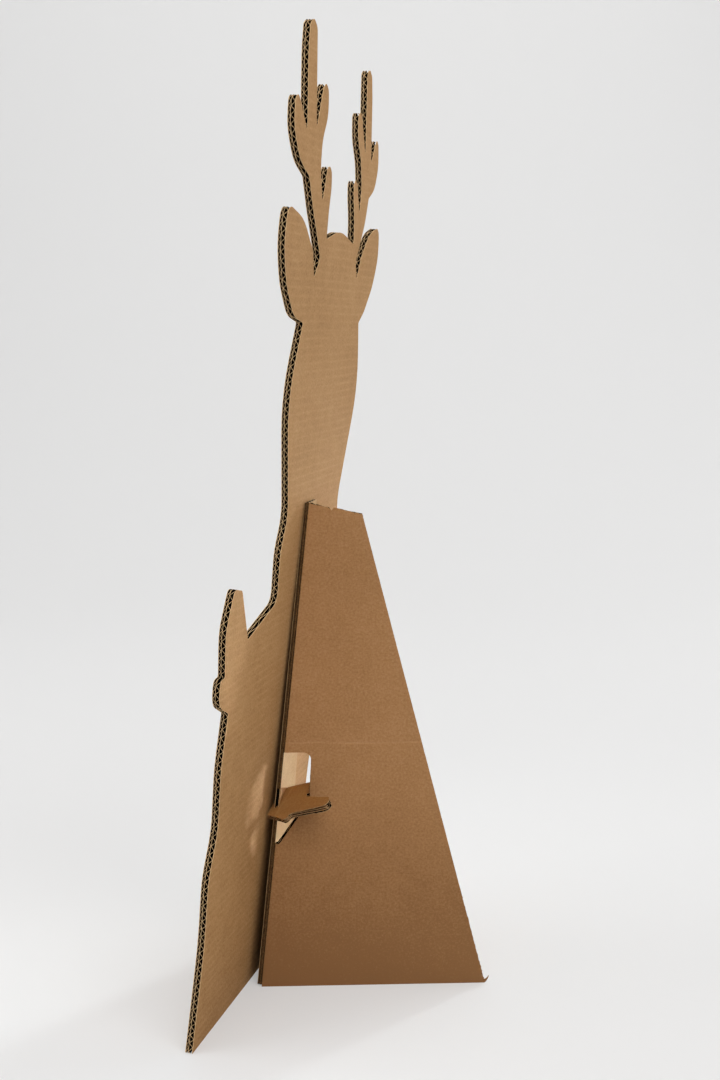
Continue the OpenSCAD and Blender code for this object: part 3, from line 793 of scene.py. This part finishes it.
# Where the tongue lies in the paper's pattern (m), and the corners of its root on the flap
TONGUE_ASIDE = 0.05
ROOT_CORNER = Vector((172.0, 182.0))
ROOT_OVER = 1.5


def add_liners(easel, far, near, place, bends, sides, rim=EDGE, uv_shift=(0, 0)):
    """The sheet's far and near liner, each with its own outline and outer material."""
    easel.liner(far, 0.0, EASEL_LINER, place, bends, (sides[0], DEEP_SHADE), rim, uv_shift)
    easel.liner(near, UNDER_LINER, SHEET_THICK, place, bends, (DEEP_SHADE, sides[1]), rim, uv_shift)


def add_flutes(easel, outline, turn, place, seed, piece=math.inf, rim=EDGE):
    """The sheet's fluted paper between its liners."""
    paper = (EASEL_LINER, UNDER_LINER, COARSE_PITCH, EASEL_PAPER)
    easel.fluted(outline, *paper, turn, place, seed, piece, rim)


def wing_outline(cut_back):
    """Wing with its opening, whose slanting lower edge is cut back by a knife held askew."""
    nick = Vector((FOLD_END_X + WING_TOP_WIDTH * NICK_PLACE, FOLD_END_Y - WING_DROP * NICK_PLACE))
    nick_half = Vector((NICK_WIDTH / 2, 0))
    outside = [Vector((0, 0)), Vector((WING_FOOT, 0)),
               Vector((FOLD_END_X + WING_TOP_WIDTH, FOLD_END_Y - WING_DROP)),
               nick + nick_half, nick - Vector((0, NICK_DEPTH)), nick - nick_half,
               Vector((FOLD_END_X, FOLD_END_Y)), Vector((FOLD_SLANT * OPEN_HIGH, OPEN_HIGH))]
    # corners as x, y, radius and the share of the cut back by which each moves in x and y; the
    # first one is left out again, it gives the direction in which the upper edge starts
    corners = ((0, OPEN_HIGH, 0, 0, 0),
               (OPEN_REACH, OPEN_HIGH, OPEN_ROUND, 0, 0),
               (OPEN_REACH - OPEN_TAPER, OPEN_LOW + OPEN_SLOPE, OPEN_ROUND, 0.3, -1),
               (OPEN_LIP, OPEN_LOW, FORK_ROUND, 0.5, -0.8),
               (FOLD_SLANT * OPEN_LOW, OPEN_LOW, 0, 0, -0.3))
    moved = [(x + aside * cut_back, y + up * cut_back, radius) for x, y, radius, aside, up in corners]
    return outside + rounded(moved)[1:]


def wing_wear(p):
    """How worn the wing's outline is: torn at the top, frayed at the outer foot, unworn on the floor."""
    if p.y < CLEAN_FOOT_HEIGHT:
        return 0.0
    if p.y > FOLD_END_Y - TORN_TOP_HEIGHT:
        return TORN_TOP
    outer = p.x > FOLD_END_X + WING_TOP_WIDTH or p.x > WING_FOOT * (1 - p.y / FOLD_END_Y)
    frayed = FRAYED_FOOT * max(0.0, 1 - p.y / FRAYED_FOOT_HEIGHT)
    return PLAIN_EDGE + (frayed if outer else 0.0)


def add_wing(easel):
    bends = level_cuts(WING_BEND_STEP * k for k in range(1, WING_BENDS + 1))
    far = worn(wing_outline(0.0), WING_STEP, WING_WEAR, seed=1.0, where=wing_wear)
    near = worn(wing_outline(NEAR_CUT_BACK), WING_STEP, WING_WEAR, seed=2.0, where=wing_wear)
    add_liners(easel, far, near, place_wing, bends, (FACE, FACE))
    turn = -math.atan2(FOLD_END_X, FOLD_END_Y)
    cut = wing_outline(FLUTE_CUT_BACK)
    add_flutes(easel, cut, turn, place_wing, seed=21.0, piece=WING_FLUTE_PIECE)


def flap_bends():
    """Planes that split the flap's papers over its soft bend."""
    planes = []
    for k in range(FLAP_BEND_PIECES + 1):
        out = FLAP_SOFT * k / FLAP_BEND_PIECES
        point = (FLAP_TOP.x + OUTWARD.x * out, FLAP_TOP.y + OUTWARD.y * out, 0)
        planes.append((point, (OUTWARD.x, OUTWARD.y, 0)))
    return planes


def add_flap(easel):
    outline = [FLAP_TOP, FLAP_TOP + Vector((FLAP_TOP_WIDTH, 0)), FLAP_FAR_FOOT, FLAT_FOOT]
    glued = worn(outline, FLAP_STEP, FLAP_WEAR, seed=4.0)
    seen = worn(outline, FLAP_STEP, FLAP_WEAR, seed=5.0)
    # the flap's side towards the board takes the fold's painted shade, darkening the gap where it lifts
    # off
    add_liners(easel, glued, seen, place_flap, flap_bends(), (FOLD_SHADE, LIT_FLAP))
    turn = math.atan2(FLAT_FOOT.x - FLAP_TOP.x, FLAP_TOP.y - FLAT_FOOT.y)
    add_flutes(easel, outline, turn, place_flap, seed=31.0, piece=FLAP_FLUTE_PIECE)


def tongue_outline():
    """Tongue with its hook and the slot that sits on the wing."""
    near_y = slot_end(SHEET_THICK + SLOT_CLEAR)
    near_x = wing_at(SHEET_THICK + SLOT_CLEAR, near_y, -SHEET_THICK)
    far_y = slot_end(-SLOT_CLEAR)
    lip_y = TONGUE_LENGTH - HOOK_SHORT
    prong_y = TONGUE_LENGTH - PRONG_SHORT
    return rounded([(0, -TIP_CROWN, 0),
                    (0, prong_y, TIP_ROUND),
                    (wing_at(-SLOT_CLEAR, prong_y, 0), prong_y, FORK_ROUND),
                    (wing_at(-SLOT_CLEAR, far_y, 0), far_y, 0),
                    (near_x, near_y, 0),
                    (near_x + (lip_y - near_y) * math.tan(HOOK_TURN), lip_y, FORK_ROUND),
                    (TONGUE_WIDTH - TIP_ROUND, TONGUE_LENGTH, TIP_ROUND),
                    (TONGUE_WIDTH, TONGUE_LENGTH - TIP_CROWN, TIP_FALL),
                    (TONGUE_WIDTH, ROOT_LENGTH, TIP_FALL),
                    (TONGUE_WIDTH + ROOT_STEP, ROOT_LENGTH, TIP_FALL),
                    (TONGUE_WIDTH - ROOT_IN, -TIP_CROWN, 0)])


def add_tongue(easel):
    outline = tongue_outline()
    bends = level_cuts(TONGUE_BEND_STEP * k for k in range(1, TONGUE_BENDS + 1))
    on_crease = (TONGUE_ASIDE, (CREASE_HEIGHT - TONGUE_CREASE) * MM)
    lower = worn(outline, TONGUE_STEP, TONGUE_WEAR, seed=6.0)
    upper = worn(outline, TONGUE_STEP, TONGUE_WEAR, seed=7.0)
    add_liners(easel, lower, upper, place_tongue, bends, (TONGUE, TONGUE), SHADED_SOFT_EDGE, on_crease)
    add_flutes(easel, outline, 0.0, place_tongue, seed=41.0, rim=SHADED_SOFT_EDGE)
    for low, high, seed in SPLIT_LAYERS:
        layer = worn(rounded(SPLIT_RIM), TONGUE_STEP, SPLIT_WEAR, seed)
        easel.liner(layer, low, high, place_tongue, bends, rim=SHADED_SOFT_EDGE)


def add_root(easel):
    """The tongue's root: its paper on the flap between the fold and the tongue."""
    along_fold = (FLAP_TOP - FLAT_FOOT) / FOLD_END_Y
    root = [FLAT_FOOT + along_fold * ROOT_HIGH, FLAT_FOOT + along_fold * ROOT_MIDDLE,
            ROOT_CORNER, Vector((TONGUE_X, TONGUE_HEIGHT + ROOT_OVER))]
    top = SHEET_THICK + ROOT_PAPER
    # the root takes the tongue's paper, drawn darker as painted shade
    easel.liner(root, SHEET_THICK, top, place_flap, flap_bends(), (TONGUE, TONGUE), TONGUE)


# The crushed spine of the fold: radius of its liner, and below which radius, in its scored grooves, it is
# painted near black as shade
SPINE_RADIUS = 3.75
SPINE_MOST = 3.85
SPINE_DARK_BELOW = 3.3
SPINE_PAPER = 0.4
SPINE_START = 0.004
SPINE_STEPS = 40
SPINE_STEP_LENGTH = 3
# Degrees by which it laps over wing and flap, and the share of its turn missing beside the opening
SPINE_LAP = 4
SPINE_MISSING = 0.12
# Scored grooves: place as a share of the turn, depth in mm, width in degrees; and their drift
GROOVES = ((0.16, 0.8, 4.0), (0.52, 0.9, 5.0), (0.8, 0.5, 4.0))
GROOVE_DRIFT = 3
# Crumples of the liner: depth in mm on the whole fold and where it is torn, and fine ones
CRUMPLE = 0.22
TORN_CRUMPLE = 0.6
FINE_CRUMPLE = 0.1
# Waves of each along the fold and round it; the third number is a seed
DRIFT_WAVES = (9, 30, 2)
CRUMPLE_WAVES = (70, 0.12, 5)
FINE_WAVES = (300, 0.2, 8)


def fold_noise(share, around, waves):
    return noise.noise(Vector((share * waves[0], around * waves[1], waves[2])))


def spine_radius(share, angle, turn, crumple):
    """Radius of the crushed fold at a share of its height and an angle in degrees."""
    radius = SPINE_RADIUS
    for place, depth, width in GROOVES:
        drift = GROOVE_DRIFT * fold_noise(share, place, DRIFT_WAVES)
        radius -= depth * math.exp(-((angle - place * turn - drift) / width) ** 2)
    radius += crumple * fold_noise(share, angle, CRUMPLE_WAVES)
    radius += FINE_CRUMPLE * fold_noise(share, angle, FINE_WAVES)
    return min(radius, SPINE_MOST)


def spine_ring(share, angles, turn, crumple, side):
    """Closed ring of (point, place on the sheet, dark) round the fold's outer liner."""
    base = HINGE_FOOT + RISE * share
    outer = []
    inner = []
    for degrees in angles:
        radius = spine_radius(share, degrees, turn, crumple)
        angle = math.radians(degrees)
        ray = math.cos(angle) * WING_NORMAL + math.sin(angle) * side
        place = (radius * angle, share * RISE.length)
        outer.append((base + ray * radius, place, radius < SPINE_DARK_BELOW))
        inner.append((base + ray * (radius - SPINE_PAPER), place, True))
    return outer + inner[::-1]


def add_fold(easel):
    """Outer liner bent round the fold, crushed and scored, except where the tongue comes away."""
    diagonal = on_back(FLAP_FOOT, floor_height(SHEET_THICK), SHEET_THICK) - HINGE_TOP
    flap_normal = RISE.cross(diagonal).normalized()
    turn = math.degrees(math.acos(WING_NORMAL.dot(flap_normal)))
    side = (flap_normal - flap_normal.dot(WING_NORMAL) * WING_NORMAL).normalized()
    heights = (OPEN_LOW, ROOT_LOW, ROOT_HIGH, OPEN_HIGH)
    low, root_low, root_high, high = (height / FOLD_END_Y for height in heights)
    beside = SPINE_MISSING * turn
    # stretches of the fold: start and end as shares of its height, first angle, depth of crumples
    stretches = ((SPINE_START, low, -SPINE_LAP, CRUMPLE), (low, root_low, beside, TORN_CRUMPLE),
                 (root_high, high, beside, TORN_CRUMPLE), (high, 1.0, -SPINE_LAP, CRUMPLE))
    for start, end, first, crumple in stretches:
        angles = [first + (turn + SPINE_LAP - first) * k / SPINE_STEPS for k in range(SPINE_STEPS + 1)]
        count = int(RISE.length * (end - start) / SPINE_STEP_LENGTH)
        shares = [start + (end - start) * k / count for k in range(count + 1)]
        rings = [spine_ring(share, angles, turn, crumple, side) for share in shares]
        for ring, following in zip(rings, rings[1:]):
            for i in range(len(ring)):
                j = (i + 1) % len(ring)
                quad = (ring[i], ring[j], following[j], following[i])
                # painted shade: faces in the scored grooves and on the liner's inside are drawn near
                # black, the rest in the fold's dark painted shade
                dark = ring[i][2] and following[i][2]
                easel.raw([q[:2] for q in quad], DEEP_SHADE if dark else FOLD_SHADE)
        easel.raw([q[:2] for q in rings[0]], EDGE)
        easel.raw([q[:2] for q in rings[-1][::-1]], EDGE)


# A torn flake at the wing's outer foot: where it starts, how far it runs out, climbs and curls
FLAKE_STEPS = 8
FLAKE_PAPER = 0.35
FLAKE_FROM = (-1.5, 2.2)
FLAKE_OUT = 5.2
FLAKE_CLIMB = 5.4
FLAKE_HALF_WIDTH = 2.1
FLAKE_TAPER = 0.5
FLAKE_OFF = 0.1
FLAKE_CURL = 1.6
FLAKE_CURL_TURN = 2.2
# It has one tone, taken at one place of the paper's pattern (mm)
FLAKE_PATTERN = (0.036, 0.004)


def flake_section(share):
    """Corners of the flake's cross-section at a share of its length: two on top, two below."""
    x = WING_FOOT + FLAKE_FROM[0] + FLAKE_OUT * share
    middle = FLAKE_FROM[1] + FLAKE_CLIMB * share * share
    half = FLAKE_HALF_WIDTH * (1 - FLAKE_TAPER * share)
    top = SHEET_THICK + FLAKE_OFF + FLAKE_CURL * math.sin(FLAKE_CURL_TURN * share)
    corners = []
    for depth in (top, top - FLAKE_PAPER):
        for y in (middle - half, middle + half):
            point = HINGE_FOOT + x * WING_X + y * WING_Y + depth * WING_NORMAL
            corners.append((point, FLAKE_PATTERN))
    return corners


def add_flake(easel):
    """Torn strip of liner that curls out at the wing's outer foot."""
    sections = [flake_section(k / FLAKE_STEPS) for k in range(FLAKE_STEPS + 1)]
    for here, there in zip(sections, sections[1:]):
        low, high, under_low, under_high = here
        next_low, next_high, next_under_low, next_under_high = there
        easel.raw([low, high, next_high, next_low], FACE)
        easel.raw([under_low, next_under_low, next_under_high, under_high], FACE)
        easel.raw([low, next_low, next_under_low, under_low], EDGE)
        easel.raw([high, under_high, next_under_high, next_high], EDGE)
    low, high, under_low, under_high = sections[0]
    easel.raw([low, under_low, under_high, high], EDGE)
    low, high, under_low, under_high = sections[-1]
    easel.raw([low, high, under_high, under_low], EDGE)


def make_easel():
    easel = Sheet("folded_easel")
    for add in (add_wing, add_flap, add_tongue, add_root, add_fold, add_flake):
        add(easel)
    materials = [easel_face, cut_edge, deep_shade_paper, lit_flap_face, fold_shade_paper, shaded_tongue_face, shaded_soft_edge]
    return easel.done(materials)


easel_obj = make_easel()
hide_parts("easel_stand")
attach(easel_obj, "root")


# Studio: a seamless white sweep and soft light, set out along the camera's line

# The camera's place in millimetres before the shift to the shared frame, and its line of sight
EYE = Vector((-1208.2, -477.1, 664.0))
LOOK = Vector((0.957, 0.252, -0.1445)).normalized()
AHEAD = Vector((LOOK.x, LOOK.y, 0)).normalized()
RIGHT = Vector((AHEAD.y, -AHEAD.x, 0))
PALE = (0.77, 0.768, 0.766, 1)
# Share of even white on the sweep, and where to the sides and in front it grows (m)
EVEN_WHITE = 0.4
EVEN_FROM = 1.5
EVEN_OVER = 2.0
# The sweep in metres
SWEEP_FRONT = -5.0
SWEEP_BACK = 1.9
SWEEP_RADIUS = 1.6
SWEEP_TOP = 6.0
SWEEP_HALF_WIDTH = 6.0
SWEEP_STEPS = 24


def studio_place(aside, ahead, height):
    return RIGHT * aside + AHEAD * ahead + Vector((0, 0, height))


def seen_directly(tree):
    """1 for what the camera sees itself, in a reflection or through glass, else 0."""
    ray = node(tree, "ShaderNodeLightPath").outputs
    share = math_node(tree, "MAXIMUM", ray["Is Camera Ray"], ray["Is Glossy Ray"])
    return math_node(tree, "MAXIMUM", share, ray["Is Transmission Ray"])


def along_axis(tree, place, axis):
    product = node(tree, "ShaderNodeVectorMath", operation="DOT_PRODUCT")
    tree.links.new(place, product.inputs[0])
    product.inputs[1].default_value = axis
    return product.outputs["Value"]


def evenness(tree):
    """Share of even white at a place on the sweep: all of it far to the sides and in front."""
    place = node(tree, "ShaderNodeTexCoord").outputs["Object"]
    aside = math_node(tree, "ABSOLUTE", along_axis(tree, place, RIGHT))
    in_front = along_axis(tree, place, -AHEAD)
    far = minus(tree, math_node(tree, "MAXIMUM", aside, in_front), EVEN_FROM)
    rise = math_node(tree, "DIVIDE", far, EVEN_OVER, True)
    return plus(tree, times(tree, rise, 1 - EVEN_WHITE), EVEN_WHITE)


def white_paper():
    """White paper that keeps part of an even white where it is seen, which lightens its shadows."""
    material = bpy.data.materials.new("white paper")
    material.use_nodes = True
    tree = material.node_tree
    paper = tree.nodes["Principled BSDF"]
    paper.inputs["Base Color"].default_value = (0.86, 0.857, 0.853, 1)
    paper.inputs["Roughness"].default_value = 0.9
    paper.inputs["Specular IOR Level"].default_value = 0.1
    white = node(tree, "ShaderNodeEmission")
    white.inputs["Color"].default_value = PALE
    mix = node(tree, "ShaderNodeMixShader")
    tree.links.new(times(tree, seen_directly(tree), evenness(tree)), mix.inputs[0])
    tree.links.new(paper.outputs[0], mix.inputs[1])
    tree.links.new(white.outputs[0], mix.inputs[2])
    tree.links.new(mix.outputs[0], tree.nodes["Material Output"].inputs[0])
    return material


def sweep():
    """Floor that curves up into a wall behind the object."""
    profile = [(SWEEP_FRONT, 0.0)]
    for k in range(SWEEP_STEPS + 1):
        turn = math.pi / 2 * k / SWEEP_STEPS
        rise = SWEEP_RADIUS - SWEEP_RADIUS * math.cos(turn)
        profile.append((SWEEP_BACK + SWEEP_RADIUS * math.sin(turn), rise))
    profile.append((SWEEP_BACK + SWEEP_RADIUS, SWEEP_TOP))
    surface = bmesh.new()
    rows = []
    for ahead, height in profile:
        ends = [studio_place(aside, ahead, height) for aside in (-SWEEP_HALF_WIDTH, SWEEP_HALF_WIDTH)]
        rows.append([surface.verts.new(end) for end in ends])
    for row, following in zip(rows, rows[1:]):
        surface.faces.new((row[0], row[1], following[1], following[0])).smooth = True
    mesh = bpy.data.meshes.new("sweep")
    surface.to_mesh(mesh)
    surface.free()
    mesh.materials.append(white_paper())
    piece = bpy.data.objects.new("sweep", mesh)
    bpy.context.scene.collection.objects.link(piece)
    return piece


sweep()


def area(name, where, aim, size, watts):
    """Soft rectangular light at a place, turned to an aim."""
    light = bpy.data.lights.new(name, "AREA")
    light.shape = "RECTANGLE"
    light.size = size[0]
    light.size_y = size[1]
    light.energy = watts
    lamp = bpy.data.objects.new(name, light)
    lamp.location = where
    lamp.rotation_euler = (aim - where).to_track_quat("-Z", "Y").to_euler()
    bpy.context.scene.collection.objects.link(lamp)
    return light


FLOOR = Vector((0, 0, 0))
area("window", studio_place(-2.6, -0.4, 1.9), Vector((0, 0, 0.1)), (2.4, 2.4), 33)
area("bounce", studio_place(2.8, 1.5, 1.4), Vector((0, 0, 0.4)), (2.4, 2.4), 31)
area("overhead", studio_place(0, 0.3, 3.6), FLOOR, (4.0, 4.0), 31)
area("front", studio_place(0.9, -2.0, 2.7), FLOOR, (2.6, 2.6), 47)
area("top", studio_place(0, -1.2, 3.4), FLOOR, (3.2, 2.4), 29)
area("backdrop", studio_place(0, 1.5, 2.8), studio_place(0, 3.6, 1.0), (4.0, 1.2), 22)
# a small cool light that reaches behind the wing, onto what its opening shows
BEHIND_OPENING = Vector((0.035, 0.09, 0.2))
low_card = area("low card", studio_place(1.85, 2.1, 0.75), BEHIND_OPENING, (0.6, 0.45), 0.85)
low_card.color = (0.86, 0.97, 1.0)
low_card.spread = math.radians(12)


def pale_room():
    """World that lights the object a little and is pale behind it."""
    world = bpy.data.worlds.new("room")
    world.use_nodes = True
    tree = world.node_tree
    light = tree.nodes["Background"]
    light.inputs["Color"].default_value = (1, 1, 1, 1)
    light.inputs["Strength"].default_value = 0.06
    wall = node(tree, "ShaderNodeBackground")
    wall.inputs["Color"].default_value = PALE
    mix = node(tree, "ShaderNodeMixShader")
    tree.links.new(seen_directly(tree), mix.inputs[0])
    tree.links.new(light.outputs[0], mix.inputs[1])
    tree.links.new(wall.outputs[0], mix.inputs[2])
    tree.links.new(mix.outputs[0], tree.nodes["World Output"].inputs[0])
    return world


bpy.context.scene.world = pale_room()

# Camera of the photograph
camera_data = bpy.data.cameras.new("camera")
camera_data.sensor_fit = "VERTICAL"
camera_data.sensor_height = 36
camera_data.lens = 50
camera = bpy.data.objects.new("camera", camera_data)
camera.location = metres(EYE)
camera.rotation_euler = LOOK.to_track_quat("-Z", "Y").to_euler()
bpy.context.scene.collection.objects.link(camera)
bpy.context.scene.camera = camera
bpy.context.scene.view_settings.view_transform = "Standard"
